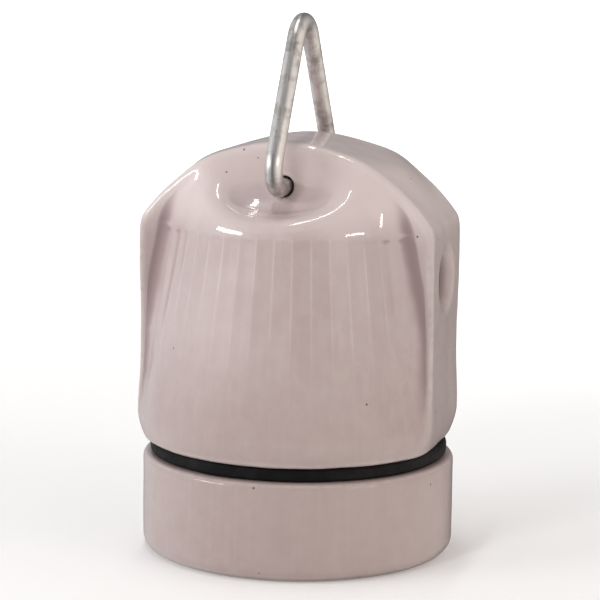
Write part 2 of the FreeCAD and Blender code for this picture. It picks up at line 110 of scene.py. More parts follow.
def ramp(x, low, high):
    """0 below low, 1 above high, and smooth between."""
    t = np.clip((x - low) / (high - low), 0, 1)
    return t * t * (3 - 2 * t)


def slope_plane(r, z, p, q):
    """Distance outside the cone, or for x in place of r the plane, through the profile points p and q."""
    dr, dz = q[0] - p[0], q[1] - p[1]
    length = math.hypot(dr, dz)
    return ((r - p[0]) * dz - (z - p[1]) * dr) / length


def thread_wave(x, y, z, phase):
    """1 on the crest and 0 in the root of a right-hand thread with rounded flanks."""
    turn = (z / THREAD_PITCH - np.arctan2(y, x) / (2 * math.pi) + phase) % 1.0
    return ramp(np.abs(turn - 0.5) * 2, 0.22, 0.78)


def waves(x, y, z, size, seed):
    """A smooth uneven field between about -1 and 1, with lumps about size across."""
    rng = np.random.default_rng(seed)
    total = 0
    for _ in range(6):
        direction = rng.normal(size=3)
        direction /= np.linalg.norm(direction)
        k = direction * 2 * math.pi / (size * rng.uniform(1.4, 2.6))
        total = total + np.sin(x * k[0] + y * k[1] + z * k[2] + rng.uniform(0, 6.28))
    return total / 3.2


def flute_angle(x, y):
    """The angle from the middle of the nearest flute, counted from straight ahead, front and back."""
    angle = np.arctan2(x, np.abs(y))
    return (angle + FLUTE_STEP / 2) % FLUTE_STEP - FLUTE_STEP / 2


def dome_field(x, y, z):
    """The round front and back: fluted cone, crown and top."""
    r = np.hypot(x, y)
    cone = slope_plane(r, z, CONE_FOOT, CONE_HEAD)
    across = flute_angle(x, y)
    depth = -0.10 + 0.34 * ramp(z, 27, 60) - 0.9 * ramp(z, SHOULDER - 1.6, SHOULDER + 0.4)
    dish = 0.07 * np.cos(across / FLUTE_STEP * math.pi) ** 2 * ramp(z, 30, 55)
    flats = slope_plane(r * np.cos(across), z, CONE_FOOT, CONE_HEAD) + depth + dish
    dome = smax(smax(cone, flats, 0.12), slope_plane(r, z, CROWN_FOOT, CROWN_HEAD), 0.7)
    dome = smax(dome, slope_plane(r, z, CAP_FOOT, CAP_HEAD), 3.0)
    dome = smax(dome, z - DOME_TOP, 3.0)
    sides = np.abs(x) - 26.6 - 3.5 * ramp(-z, -40, -23)
    return smax(dome, sides, 3.0)


def saddle_field(x, y, z):
    """The slab across the housing, with its faces drawn in along the seam with the cone."""
    xa = np.abs(x)
    arc = np.hypot(x, z - (BODY_TOP - ARC_RADIUS)) - ARC_RADIUS
    cone_radius = CONE_HEAD[0] + (SHOULDER - z) * CONE_TAPER
    seam = np.sqrt(np.maximum(cone_radius**2 - HALF_SADDLE**2, 100)) + 2.3
    cove = COVE_DEPTH * np.exp(-(((xa - np.minimum(seam, 27.3)) / COVE_WIDTH) ** 2))
    cove = cove * ramp(z, 23, 36) * (1 - 0.7 * ramp(z, 60, 70))
    slab = smax(arc, np.abs(y) - HALF_SADDLE + cove, 1.5)
    return smax(slab, xa - END_X, 1.1)


def bail_hollow(x, y, z):
    """The oval hollow in front of the bail's hole, and its twin at the back."""
    ya = np.abs(y)
    ball = np.sqrt((x / HOLLOW_STRETCH) ** 2 + (ya - HOLLOW_Y) ** 2 + (z - HOLLOW_Z) ** 2) - HOLLOW_RADIUS
    return smax(ball, HALF_SADDLE - ya, 5.0)


def neck_field(x, y, z):
    """The neck under the rim, with the shallow crests of its coarse thread."""
    crest = 0.7 * thread_wave(x, y, z, 0.0) * ramp(z, NECK_FOOT, 10.5) * ramp(-z, -20.5, -18.5)
    neck = np.hypot(x, y) - NECK_RADIUS - crest
    return smax(np.maximum(neck, z - RIM - 1), NECK_FOOT - z, 0.8)


def housing_field(x, y, z):
    """Below zero inside the porcelain of the upper housing."""
    r = np.hypot(x, y)
    xa, ya = np.abs(x), np.abs(y)
    solid = smin(dome_field(x, y, z), saddle_field(x, y, z), 3.4)
    solid = smax(solid, -bail_hollow(x, y, z), 2.8)
    solid = smax(solid, -(np.hypot(x, z - BAIL_Z) - BAIL_HOLE_RADIUS), 0.6)
    # flat ends, greatest radius, and the slopes down to the rim
    solid = smax(solid, xa - END_X, 0.7)
    solid = smax(solid, slope_plane(xa, z, (END_X - 1.1, RIM), (END_X, RIM + 2.5)), 1.3)
    solid = smax(solid, r - BODY_RADIUS, 0.4)
    solid = smax(solid, slope_plane(r, z, (29.5, RIM), (BODY_RADIUS, RIM + 2.7)), 1.6)
    solid = smax(solid, RIM - z, 1.0)
    solid = np.minimum(solid, neck_field(x, y, z))
    # the chamber inside, the key slots in the neck and the cable entries
    chamfer_foot = (CHAMBER_RADIUS, CHAMBER_TOP - CHAMBER_CHAMFER)
    chamfer = slope_plane(r, z, chamfer_foot, (CHAMBER_RADIUS - CHAMBER_CHAMFER, CHAMBER_TOP))
    chamber = np.maximum(smax(r - CHAMBER_RADIUS, chamfer, 2.0), z - CHAMBER_TOP)
    solid = smax(solid, -chamber, 0.8)
    key = np.maximum(np.maximum(xa - 2.2, z - 10.0), 18.0 - ya)
    solid = np.maximum(solid, -key)
    bore = np.hypot(y, z - ENTRY_Z) - ENTRY_RADIUS
    solid = smax(solid, -np.maximum(bore, 15 - xa), 2.9)
    # a drip of glaze low on the front, and the slight unevenness of hand-finished ware
    drip = ((x - 11.0) / 2.4) ** 2 + ((z - RIM - 3.2) / 2.6) ** 2
    solid = solid - 0.22 * np.exp(-drip) * (y < 0)
    return solid - 0.05 * waves(x, y, z, 9.0, 4) - 0.02 * waves(x, y, z, 3.2, 5)


def core_field(x, y, z):
    """Below zero inside the porcelain of the contact block."""
    r = np.hypot(x, y)
    xa, ya = np.abs(x), np.abs(y)
    barrel = np.maximum(smax(r - CORE_RADIUS, z - CORE_TOP, 1.2), CORE_FOOT - z)
    flange = smax(r - FLANGE_RADIUS, z - FLANGE_TOP, 0.6)
    solid = np.minimum(barrel, np.maximum(flange, CORE_FOOT - z))
    key = np.maximum(np.maximum(xa - 2.0, np.abs(z - 7.5) - 2.3), np.maximum(19.2 - ya, r - FLANGE_RADIUS))
    solid = np.minimum(solid, key)
    # the posts of the cord grip, and the wall between the terminals
    root = CORE_TOP - 2.0
    post = np.hypot(x, ya - POST_Y)
    solid = smin(solid, np.maximum(smax(post - POST_RADIUS, z - POST_TOP, 1.0), root - z), 1.2)
    wall = smax(xa - 1.2, z - 42.0, 0.8)
    solid = smin(solid, np.maximum(np.maximum(wall, ya - POST_Y), root - z), 1.0)
    # the shell's pocket, the bores in the posts, the contact's recess and the screw holes
    solid = smax(solid, -np.maximum(r - POCKET_RADIUS, z - POCKET_TOP), 1.0)
    solid = np.maximum(solid, -np.maximum(post - 1.3, 40.0 - z))
    recess = np.maximum(np.maximum(np.abs(x - 2.15) - 3.85, ya - 4.0), np.abs(z - 30.3) - 1.3)
    solid = np.maximum(solid, -recess)
    angle = math.radians(125)
    for px, py in ((-4.9, 0), (11.2, 0), (11.2 * math.cos(angle), 11.2 * math.sin(angle))):
        solid = np.maximum(solid, CORE_HOLE_RADIUS - np.hypot(x - px, y - py))
    return solid - 0.02 * waves(x, y, z, 4.0, 8)


# ---- meshes ------------------------------------------------------------------
def shifted(a, offset):
    """The samples of a at each cell's corner with this (0 or 1) offset."""
    return a[tuple(slice(o, a.shape[i] - 1 + o) for i, o in enumerate(offset))]


def surface_net(grid):
    """One vertex in each cell that the zero surface crosses, in cells, and the quads between them."""
    inside = grid < 0
    offsets = [(i, j, k) for i in (0, 1) for j in (0, 1) for k in (0, 1)]
    count = sum(shifted(inside, o).astype(np.int8) for o in offsets)
    cells = (count > 0) & (count < 8)
    where = np.argwhere(cells)
    number = np.full(cells.shape, -1, np.int64)
    number[cells] = np.arange(len(where))
    total = np.zeros((len(where), 3))
    hits = np.zeros(len(where))
    for axis in range(3):
        for o in offsets:
            if o[axis]:
                continue
            a = where + o
            b = a.copy()
            b[:, axis] += 1
            fa, fb = grid[tuple(a.T)], grid[tuple(b.T)]
            cut = (fa < 0) != (fb < 0)
            t = np.where(cut, fa / np.where(cut, fa - fb, 1), 0)
            point = a.astype(float)
            point[:, axis] += t
            total += point * cut[:, None]
            hits += cut
    quads = []
    for axis in range(3):
        b, c = (axis + 1) % 3, (axis + 2) % 3
        first = [slice(None)] * 3
        second = [slice(None)] * 3
        first[axis], second[axis] = slice(0, -1), slice(1, None)
        fa, fb = inside[tuple(first)], inside[tuple(second)]
        edges = np.argwhere(fa != fb)
        edges = edges[(edges[:, b] > 0) & (edges[:, c] > 0)]
        edges = edges[(edges[:, b] < grid.shape[b] - 1) & (edges[:, c] < grid.shape[c] - 1)]
        back_b, back_c = edges.copy(), edges.copy()
        back_b[:, b] -= 1
        back_c[:, c] -= 1
        both = back_b.copy()
        both[:, c] -= 1
        quad = np.stack([number[tuple(v.T)] for v in (edges, back_b, both, back_c)], 1)
        flip = fb[tuple(edges.T)]
        quad[flip] = quad[flip][:, ::-1]
        quads.append(quad)
    return total / hits[:, None], np.concatenate(quads)


def settle(field, verts, quads, step, turns=6, even_turns=4):
    """Capped Newton steps onto the field's zero surface, the first few also evening out the mesh."""
    for turn in range(turns):
        slope, value = gradient(field, verts)
        steep = (slope**2).sum(1)[:, None]
        move = -value[:, None] * slope / np.maximum(steep, 0.2)
        size = np.linalg.norm(move, axis=1)
        verts += move * np.minimum(1, 0.3 * step / np.maximum(size, 1e-9))[:, None]
        if turn < even_turns:
            drift = neighbour_mean(verts, quads) - verts
            along = (drift * slope).sum(1)[:, None] * slope / np.maximum(steep, 1e-6)
            verts += 0.5 * (drift - along)
    return verts


def surface(field, low, high, step):
    """Vertices and quads on the field's zero surface, between two corners of a box."""
    axes = [np.arange(low[i], high[i] + step, step) for i in range(3)]
    grid = field(*np.meshgrid(*axes, indexing="ij", sparse=True))
    verts, quads = surface_net(grid)
    verts = verts * step + np.array([a[0] for a in axes])
    return settle(field, verts, quads, step), quads


def neighbour_mean(verts, quads):
    """The mean of each vertex's neighbours along the mesh's edges."""
    corner = quads.ravel()
    count = 2 * np.bincount(corner, minlength=len(verts))
    ahead, behind = np.roll(quads, -1, 1).ravel(), np.roll(quads, 1, 1).ravel()
    total = [np.bincount(corner, verts[ahead, k] + verts[behind, k], len(verts)) for k in range(3)]
    return np.stack(total, 1) / count[:, None]


def gradient(field, verts, eps=0.03):
    """The field's slope and its value at each vertex."""
    x, y, z = verts.T
    slope = np.stack([
        field(x + eps, y, z) - field(x - eps, y, z),
        field(x, y + eps, z) - field(x, y - eps, z),
        field(x, y, z + eps) - field(x, y, z - eps),
    ], 1) / (2 * eps)
    return slope, field(x, y, z)


def bend(field, verts, eps=0.8):
    """How convex (above zero) or hollow (below) the surface is at each vertex, per millimetre."""
    x, y, z = verts.T
    near = field(x + eps, y, z) + field(x - eps, y, z) + field(x, y + eps, z)
    near = near + field(x, y - eps, z) + field(x, y, z + eps) + field(x, y, z - eps)
    return (near - 6 * field(x, y, z)) / eps**2


def mesh_object(name, verts, quads):
    """A smooth-shaded object from vertices in millimetres and quads."""
    mesh = bpy.data.meshes.new(name)
    mesh.vertices.add(len(verts))
    mesh.vertices.foreach_set("co", (np.asarray(verts) * MM).astype(np.float32).ravel())
    mesh.loops.add(quads.size)
    mesh.loops.foreach_set("vertex_index", quads.astype(np.int32).ravel())
    mesh.polygons.add(len(quads))
    mesh.polygons.foreach_set("loop_start", np.arange(0, quads.size, 4, dtype=np.int32))
    mesh.polygons.foreach_set("use_smooth", np.ones(len(quads), bool))
    mesh.update(calc_edges=True)
    mesh.validate()
    obj = bpy.data.objects.new(name, mesh)
    bpy.context.collection.objects.link(obj)
    return obj


def attribute(obj, name, values):
    """One number for each vertex, for a material to read."""
    layer = obj.data.attributes.new(name, "FLOAT", "POINT")
    layer.data.foreach_set("value", np.asarray(values, np.float32))


def lathe(name, profile, around, radius_change):
    """A closed outline of (radius, height) turned about Z; radius_change bends it with angle and height."""
    profile = np.asarray(profile, float)
    n = len(profile)
    angle = np.arange(around) / around * 2 * math.pi
    r = np.repeat(profile[None, :, 0], around, 0)
    z = np.repeat(profile[None, :, 1], around, 0)
    a = np.repeat(angle[:, None], n, 1)
    r = radius_change(r, z, a)
    verts = np.stack([r * np.cos(a), r * np.sin(a), z], -1).reshape(-1, 3)
    i, j = np.meshgrid(np.arange(around), np.arange(n), indexing="ij")
    i2, j2 = (i + 1) % around, (j + 1) % n
    quads = np.stack([i * n + j, i2 * n + j, i2 * n + j2, i * n + j2], -1).reshape(-1, 4)
    return mesh_object(name, verts, quads)


def rounded(corners, step, rounds):
    """The outline through the corners with each one rounded, resampled evenly; corners run anticlockwise."""
    corners = [np.array(c, float) for c in corners]
    path = []
    for k, corner in enumerate(corners):
        before = corners[k - 1] - corner
        after = corners[(k + 1) % len(corners)] - corner
        u, v = before / np.linalg.norm(before), after / np.linalg.norm(after)
        half = math.acos(np.clip(u @ v, -1, 1)) / 2
        radius = rounds[k]
        reach = radius / math.tan(half)
        middle = corner + (u + v) / np.linalg.norm(u + v) * radius / math.sin(half)
        start, end = corner + u * reach, corner + v * reach
        a0 = math.atan2(*(start - middle)[::-1])
        a1 = math.atan2(*(end - middle)[::-1])
        turn = (a1 - a0 + math.pi) % (2 * math.pi) - math.pi
        for s in np.linspace(0, 1, 9):
            a = a0 + turn * s
            path.append(middle + radius * np.array([math.cos(a), math.sin(a)]))
    path = np.array(path)
    out = []
    for p, q in zip(path, np.roll(path, -1, 0)):
        pieces = max(1, round(np.linalg.norm(q - p) / step))
        out += [p + (q - p) * s / pieces for s in range(pieces)]
    return np.array(out)


def tube(name, path, radii, around=28):
    """A round tube along a path in the YZ plane, closed by small caps."""
    path = np.asarray(path, float)
    tangent = np.gradient(path, axis=0)
    tangent /= np.linalg.norm(tangent, axis=1)[:, None]
    side = np.array([1.0, 0, 0])
    up = np.cross(tangent, side)
    a = np.arange(around) / around * 2 * math.pi
    ring = np.cos(a)[None, :, None] * side + np.sin(a)[None, :, None] * up[:, None, :]
    verts = (path[:, None, :] + ring * np.asarray(radii)[:, None, None]).reshape(-1, 3)
    i, j = np.meshgrid(np.arange(len(path) - 1), np.arange(around), indexing="ij")
    j2 = (j + 1) % around
    quads = np.stack([i * around + j, (i + 1) * around + j, (i + 1) * around + j2, i * around + j2], -1)
    quads = quads.reshape(-1, 4)
    last = (len(path) - 1) * around
    caps = []
    for k in range(around // 2 - 1):
        left, right = k, around - 1 - k
        caps.append([left, left + 1, right - 1, right])
        caps.append([last + right, last + right - 1, last + left + 1, last + left])
    obj = mesh_object(name, verts, np.concatenate([quads, np.array(caps)]))
    length = np.concatenate([[0], np.cumsum(np.linalg.norm(np.diff(path, axis=0), axis=1))])
    attribute(obj, "along", np.repeat(length, around))
    attribute(obj, "around", np.tile(a, len(path)))
    return obj


# ---- materials ---------------------------------------------------------------
class Shader:
    """A small helper that adds nodes to one material and links them."""

    def __init__(self, name):
        self.material = bpy.data.materials.new(name)
        self.material.use_nodes = True
        self.tree = self.material.node_tree
        self.principled = self.tree.nodes["Principled BSDF"]
        coords = self.tree.nodes.new("ShaderNodeTexCoord")
        self.place = coords.outputs["Object"]

    def put(self, socket, value):
        """Link value to the socket if it is another node's output, or else store it there."""
        if isinstance(value, bpy.types.NodeSocket):
            self.tree.links.new(value, socket)
        else:
            socket.default_value = value

    def set(self, **values):
        for name, value in values.items():
            self.put(self.principled.inputs[name.replace("_", " ")], value)

    def math(self, operation, *values):
        node = self.tree.nodes.new("ShaderNodeMath")
        node.operation = operation
        for socket, value in zip(node.inputs, values):
            self.put(socket, value)
        return node.outputs[0]

    def remap(self, value, low, high, to_low=0.0, to_high=1.0):
        """value's stretch from low to high, eased onto to_low to to_high and flat outside it."""
        node = self.tree.nodes.new("ShaderNodeMapRange")
        node.interpolation_type = "SMOOTHSTEP"
        for name, v in (("Value", value), ("From Min", low), ("From Max", high),
                        ("To Min", to_low), ("To Max", to_high)):
            self.put(node.inputs[name], v)
        return node.outputs["Result"]

    def stretched(self, scale):
        """The object's coordinates scaled along X, Y and Z: a small scale draws a pattern out."""
        node = self.tree.nodes.new("ShaderNodeMapping")
        self.put(node.inputs["Vector"], self.place)
        node.inputs["Scale"].default_value = scale
        return node.outputs["Vector"]

    def noise(self, size_mm, detail, roughness=0.5, vector=None):
        node = self.tree.nodes.new("ShaderNodeTexNoise")
        self.put(node.inputs["Vector"], vector or self.place)
        node.inputs["Scale"].default_value = 1 / (size_mm * MM)
        node.inputs["Detail"].default_value = detail
        node.inputs["Roughness"].default_value = roughness
        return node.outputs[0]

    def to_cell(self, size_mm):
        """The distance to the nearest of scattered points about size_mm apart, in parts of size_mm."""
        node = self.tree.nodes.new("ShaderNodeTexVoronoi")
        self.put(node.inputs["Vector"], self.place)
        node.inputs["Scale"].default_value = 1 / (size_mm * MM)
        return node.outputs["Distance"]

    def mix(self, factor, a, b):
        node = self.tree.nodes.new("ShaderNodeMix")
        node.data_type = "RGBA"
        self.put(node.inputs["Factor"], factor)
        self.put(node.inputs["A"], a)
        self.put(node.inputs["B"], b)
        return node.outputs["Result"]

    def value(self, name):
        """A vertex attribute of the mesh."""
        node = self.tree.nodes.new("ShaderNodeAttribute")
        node.attribute_name = name
        return node.outputs["Fac"]

    def axes(self):
        node = self.tree.nodes.new("ShaderNodeSeparateXYZ")
        self.put(node.inputs[0], self.place)
        return node.outputs

    def bump(self, height, distance_mm, normal=None):
        node = self.tree.nodes.new("ShaderNodeBump")
        node.inputs["Distance"].default_value = distance_mm * MM
        self.put(node.inputs["Height"], height)
        if normal:
            self.put(node.inputs["Normal"], normal)
        return node.outputs["Normal"]


def rgb(r, g, b):
    return (r, g, b, 1.0)


def glaze_colour(s):
    """Cloudy off-white glaze and its mottle: darker in the hollows, where glaze pools and where painted shade
    stands for the shade there, lighter on the edges where the glaze runs thin; with painted top light on the
    crown and painted shade low down, on the flat ends and in the cable entries.
    """
    cloud = s.remap(s.noise(26, 2.0), 0.35, 0.65)
    body = s.mix(cloud, rgb(0.452, 0.362, 0.352), rgb(0.498, 0.408, 0.396))
    mottle = s.remap(s.noise(3.2, 4.0, 0.6), 0.35, 0.7)
    body = s.mix(s.math("MULTIPLY", mottle, 0.30), body, rgb(0.560, 0.472, 0.455))
    streak = s.remap(s.noise(1.0, 3.0, 0.6, s.stretched((0.8, 0.8, 0.04))), 0.45, 0.75)
    body = s.mix(s.math("MULTIPLY", streak, 0.20), body, rgb(0.575, 0.495, 0.478))
    # painted top light: the crown and the top of the saddle lighter, as light from above falls on them
    body = s.mix(s.value("painted_top_light"), body, rgb(0.680, 0.580, 0.565))
    # painted shade: darker and browner low on the body, all over the ring, on the flat ends and in the cable
    # entries
    body = s.mix(s.value("painted_shade"), body, rgb(0.270, 0.190, 0.165))
    bend_here = s.value("bend")
    # hollows darker: glaze pools there, and painted shade stands in for the shade that falls in them
    pooled_glaze_and_shade = s.remap(bend_here, -0.09, -0.42, 0.0, 0.88)
    pooled_glaze_and_shade = s.math("MULTIPLY", pooled_glaze_and_shade, s.math("SUBTRACT", 1.0, s.value("flute")))
    body = s.mix(pooled_glaze_and_shade, body, rgb(0.290, 0.208, 0.208))
    patchy = s.remap(s.noise(2.0, 2.0), 0.3, 0.6, 0.35, 0.9)
    thin = s.math("MULTIPLY", s.remap(bend_here, 0.06, 0.75), patchy)
    body = s.mix(s.math("MULTIPLY", thin, 0.50), body, rgb(0.660, 0.590, 0.568))
    return body, mottle


def add_flutes(s, body):
    """A tone of its own for each flute, and a broken whiter line along the edge between two, where the glaze
    runs thin on the ridge and a painted highlight lies along it.
    """
    x, y, _ = s.axes()
    turn = s.math("MULTIPLY", s.math("ARCTAN2", x, s.math("ABSOLUTE", y)), 1 / FLUTE_STEP)
    shifted_turn = s.math("ADD", turn, 0.5)
    facet = s.tree.nodes.new("ShaderNodeTexWhiteNoise")
    facet.noise_dimensions = "1D"
    s.put(facet.inputs["W"], s.math("FLOOR", shifted_turn))
    tone = s.math("MULTIPLY", facet.outputs["Value"], s.math("POWER", s.value("flute"), 0.35))
    body = s.mix(s.math("MULTIPLY", tone, 0.32), body, rgb(0.385, 0.300, 0.295))
    # edge line: glaze thin on each ridge, with a painted highlight along it
    edge = s.math("ABSOLUTE", s.math("SUBTRACT", s.math("FRACT", shifted_turn), 0.5))
    line = s.math("MULTIPLY", s.remap(edge, 0.44, 0.5), s.value("flute"))
    line = s.math("MULTIPLY", line, s.remap(s.noise(7.0, 2.0), 0.35, 0.65, 0.12, 0.60))
    return s.mix(line, body, rgb(0.610, 0.535, 0.515))


def iron_specks(s):
    """1 in the few small dark specks, 0 elsewhere: cell centres, in some places only."""
    chosen = s.math("GREATER_THAN", s.noise(8.0, 0.0), 0.58)
    return s.math("MULTIPLY", s.remap(s.to_cell(3.6), 0.075, 0.045), chosen)


def glaze_normal(s, speck):
    """The glaze's slow ripple, fine orange peel, low blisters off the flutes, and a pit at each speck."""
    ripple = s.bump(s.noise(6.5, 2.0), 0.16)
    peel = s.bump(s.noise(1.1, 2.0), 0.012, normal=ripple)
    some = s.remap(s.noise(11.0, 1.0), 0.52, 0.62)
    blister = s.math("MULTIPLY", s.remap(s.to_cell(2.6), 0.20, 0.02), some)
    blister = s.math("MULTIPLY", blister, s.remap(s.value("flute"), 0.0, 0.1))
    raised = s.bump(blister, 0.025, normal=peel)
    return s.bump(s.math("SUBTRACT", 1.0, speck), 0.03, normal=raised)


def porcelain(name, fluted):
    """Glazed porcelain with iron specks and grey dust, bare where the attribute says so."""
    s = Shader(name)
    body, mottle = glaze_colour(s)
    if fluted:
        body = add_flutes(s, body)
    speck = iron_specks(s)
    body = s.mix(s.math("MULTIPLY", speck, 0.85), body, rgb(0.070, 0.050, 0.052))
    dusty = s.remap(s.noise(6.0, 2.0), 0.45, 0.65)
    dust = s.math("MULTIPLY", s.remap(s.to_cell(0.9), 0.16, 0.06), dusty)
    body = s.mix(s.math("MULTIPLY", dust, 0.22), body, rgb(0.250, 0.195, 0.190))
    bare = s.value("bare")
    body = s.mix(bare, body, s.mix(mottle, rgb(0.640, 0.590, 0.540), rgb(0.700, 0.655, 0.610)))
    # roughness stays above 0.28: the denoiser draws faint outlines round any smoother patches
    rough = s.remap(s.noise(5.0, 3.0, 0.6), 0.3, 0.7, 0.29, 0.41)
    rough = s.math("MAXIMUM", rough, s.math("MULTIPLY", bare, 0.75))
    s.set(Base_Color=body, Roughness=rough, Normal=glaze_normal(s, speck), IOR=1.5, Specular_IOR_Level=0.25)
    s.set(Coat_Weight=0.75, Coat_Roughness=0.045, Coat_IOR=1.5)
    return s.material


def biscuit(name):
    """Unglazed porcelain."""
    s = Shader(name)
    tone = s.mix(s.remap(s.noise(8.0, 4.0, 0.6), 0.35, 0.65), rgb(0.60, 0.56, 0.50), rgb(0.72, 0.69, 0.64))
    grain = s.noise(0.5, 4.0, 0.7)
    tone = s.mix(s.remap(grain, 0.55, 0.75, 0.0, 0.25), tone, rgb(0.42, 0.38, 0.33))
    rough = s.remap(grain, 0.2, 0.8, 0.62, 0.85)
    s.set(Base_Color=tone, Roughness=rough, Normal=s.bump(grain, 0.04), IOR=1.5)
    return s.material


def rubber(name):
    """Dull black rubber, with grey dust in its fine grain."""
    s = Shader(name)
    fine = s.noise(0.6, 4.0, 0.65)
    tone = s.mix(s.remap(s.noise(5.0, 3.0), 0.3, 0.7), rgb(0.006, 0.006, 0.006), rgb(0.014, 0.013, 0.013))
    tone = s.mix(s.remap(fine, 0.62, 0.75, 0.0, 0.3), tone, rgb(0.035, 0.032, 0.030))
    rough = s.remap(fine, 0.3, 0.7, 0.55, 0.78)
    s.set(Base_Color=tone, Roughness=rough, Normal=s.bump(fine, 0.05), IOR=1.5, Specular_IOR_Level=0.12)
    return s.material


def galvanised(name):
    """Drawn wire with a dulled zinc coat: lengthwise draw marks, grey bloom and faint stains."""
    s = Shader(name)
    around, along = s.value("around"), s.value("along")
    unrolled = s.tree.nodes.new("ShaderNodeCombineXYZ")
    s.put(unrolled.inputs[0], s.math("MULTIPLY", s.math("SINE", around), WIRE_RADIUS * MM))
    s.put(unrolled.inputs[1], s.math("MULTIPLY", s.math("COSINE", around), WIRE_RADIUS * MM))
    s.put(unrolled.inputs[2], s.math("MULTIPLY", along, 0.05 * MM))
    draw = s.noise(0.35, 3.0, 0.6, unrolled.outputs[0])
    bloom = s.remap(s.noise(3.0, 4.0, 0.6), 0.42, 0.64)
    tone = s.mix(bloom, rgb(0.690, 0.672, 0.655), rgb(0.450, 0.425, 0.405))
    tone = s.mix(s.remap(draw, 0.48, 0.7, 0.0, 0.45), tone, rgb(0.80, 0.79, 0.78))
    stain = s.math("MULTIPLY", s.remap(s.noise(4.5, 3.0, 0.6), 0.58, 0.70), 0.45)
    tone = s.mix(stain, tone, rgb(0.21, 0.185, 0.165))
    rough = s.math("ADD", s.remap(draw, 0.3, 0.7, 0.285, 0.37), s.math("MULTIPLY", bloom, 0.11))
    dents = s.bump(s.noise(1.6, 3.0), 0.03)
    s.set(Base_Color=tone, Metallic=1.0, Roughness=rough, Normal=s.bump(draw, 0.02, normal=dents))
    return s.material


def metal(name, dark, bright, low_rough, high_rough):
    """Machined or rolled metal: tarnish in soft patches, fine marks and rubbed places."""
    s = Shader(name)
    patch = s.remap(s.noise(4.0, 4.0, 0.6), 0.35, 0.65)
    tone = s.mix(patch, rgb(*dark), rgb(*bright))
    marks = s.noise(0.4, 3.0, 0.6, s.stretched((1.0, 1.0, 0.15)))
    rough = s.math("ADD", s.remap(marks, 0.3, 0.7, low_rough, high_rough), s.math("MULTIPLY", patch, -0.05))
    s.set(Base_Color=tone, Metallic=1.0, Roughness=rough, Normal=s.bump(marks, 0.012))
    return s.material


def studio_surface(name):
    """The whitish sweep, which glows faintly so that it doesn't grey."""
    s = Shader(name)
    tone = s.mix(s.remap(s.noise(300, 2.0), 0.3, 0.7), rgb(0.87, 0.87, 0.87), rgb(0.90, 0.90, 0.90))
    s.set(Base_Color=tone, Roughness=0.75, Emission_Color=rgb(1.0, 1.0, 1.0), Emission_Strength=0.12)
    return s.material


# ---- the pieces --------------------------------------------------------------
def make_housing():
    margin = 1.1
    low = (-END_X - margin, -BODY_RADIUS - margin, NECK_FOOT - 0.8)
    high = (END_X + margin, BODY_RADIUS + margin, BODY_TOP + margin)
    verts, quads = surface(housing_field, low, high, 0.45)
    obj = mesh_object("housing_porcelain", verts, quads)
    x, y, z = verts.T
    r, xa, ya = np.hypot(x, y), np.abs(x), np.abs(y)
    attribute(obj, "bend", bend(housing_field, verts))
    on_cone = ramp(z, 32, 58) * ramp(-z, -SHOULDER + 0.2, -SHOULDER + 1.0)
    off_saddle = ramp(r, 22.5, 23.5) * ramp(ya, HALF_SADDLE + 1.5, HALF_SADDLE + 4.5)
    attribute(obj, "flute", on_cone * off_saddle)
    # painted top light on the crown and the saddle's top, left off the flat ends and turned down as painted
    # shade in the hollow round the bail's hole
    near_hole = np.exp(-((x / 10.0) ** 2) - ((z - BAIL_Z - 0.5) / 5.0) ** 2)
    end_face = ramp(xa, END_X - 1.6, END_X - 0.3) * ramp(-z, -66, -58)
    attribute(obj, "painted_top_light", 0.82 * ramp(z, 61, 69) * (1 - end_face) * (1 - 0.55 * near_hole))
    # painted shade: darker towards the bottom, on the flat ends and in the mouths of the cable entries
    foot = ramp(-z, -46, -26)
    mouth = ramp(-np.hypot(y, z - ENTRY_Z), -7.0, -5.4) * ramp(-xa, -28.2, -24.0)
    attribute(obj, "painted_shade", np.maximum(np.maximum(0.32 * foot, 0.25 * end_face), 0.85 * mouth))
    below_rim = ramp(-z, -RIM, -RIM + 0.4)
    in_chamber = ramp(-r, -21.2, -20.6) * ramp(-z, -64, -62)
    attribute(obj, "bare", np.maximum(below_rim, in_chamber))
    obj.data.materials.append(porcelain("glazed_porcelain", True))
    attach(obj, "housing")
    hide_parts("upper_housing")


def make_ring():
    outside = [(21.5, 0), (RING_RADIUS, 0), (RING_RADIUS, RING_TOP), (RING_BORE, RING_TOP)]
    inside = [(RING_BORE, RING_FLOOR), (RING_MOUTH, RING_FLOOR), (RING_MOUTH, 2)]
    outline = rounded(outside + inside, 0.45, [0.6, 2.6, 1.3, 0.5, 0.4, 0.5, 0.6])

    def uneven(r, z, a):
        x, y = r * np.cos(a), r * np.sin(a)
        bore = ramp(-r, -26.6, -26.0) * ramp(r, 24.5, 25.5) * ramp(z, 6.5, 8.5) * ramp(-z, -17.6, -15.6)
        glaze = 0.05 * waves(x, y, z, 8.0, 21) + 0.02 * waves(x, y, z, 3.0, 22) - 0.07
        return r - 0.75 * bore * thread_wave(x, y, z, 0.5) + glaze * ramp(r, 27, 29)

    obj = lathe("ring_porcelain", outline, 360, uneven)
    co = np.array([v.co for v in obj.data.vertices]) / MM
    r, z = np.hypot(co[:, 0], co[:, 1]), co[:, 2]
    corners = np.maximum(ramp(-z, -1.9, -0.6), ramp(z, RING_TOP - 1.0, RING_TOP - 0.3))
    attribute(obj, "bend", 0.7 * ramp(r, 29.0, 29.7) * corners)
    attribute(obj, "flute", np.zeros(len(co)))
    # no painted top light on the ring
    attribute(obj, "painted_top_light", np.zeros(len(co)))
    # painted shade over the whole ring, like the bottom of the body
    attribute(obj, "painted_shade", np.full(len(co), 0.34))
    under = ramp(-z, -0.15, -0.02)
    attribute(obj, "bare", np.maximum(under, ramp(-r, -27.0, -26.4) * ramp(z, 4.8, 5.2)))
    obj.data.materials.append(porcelain("glazed_ring", False))
    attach(obj, "ring")
    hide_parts("lower_ring")


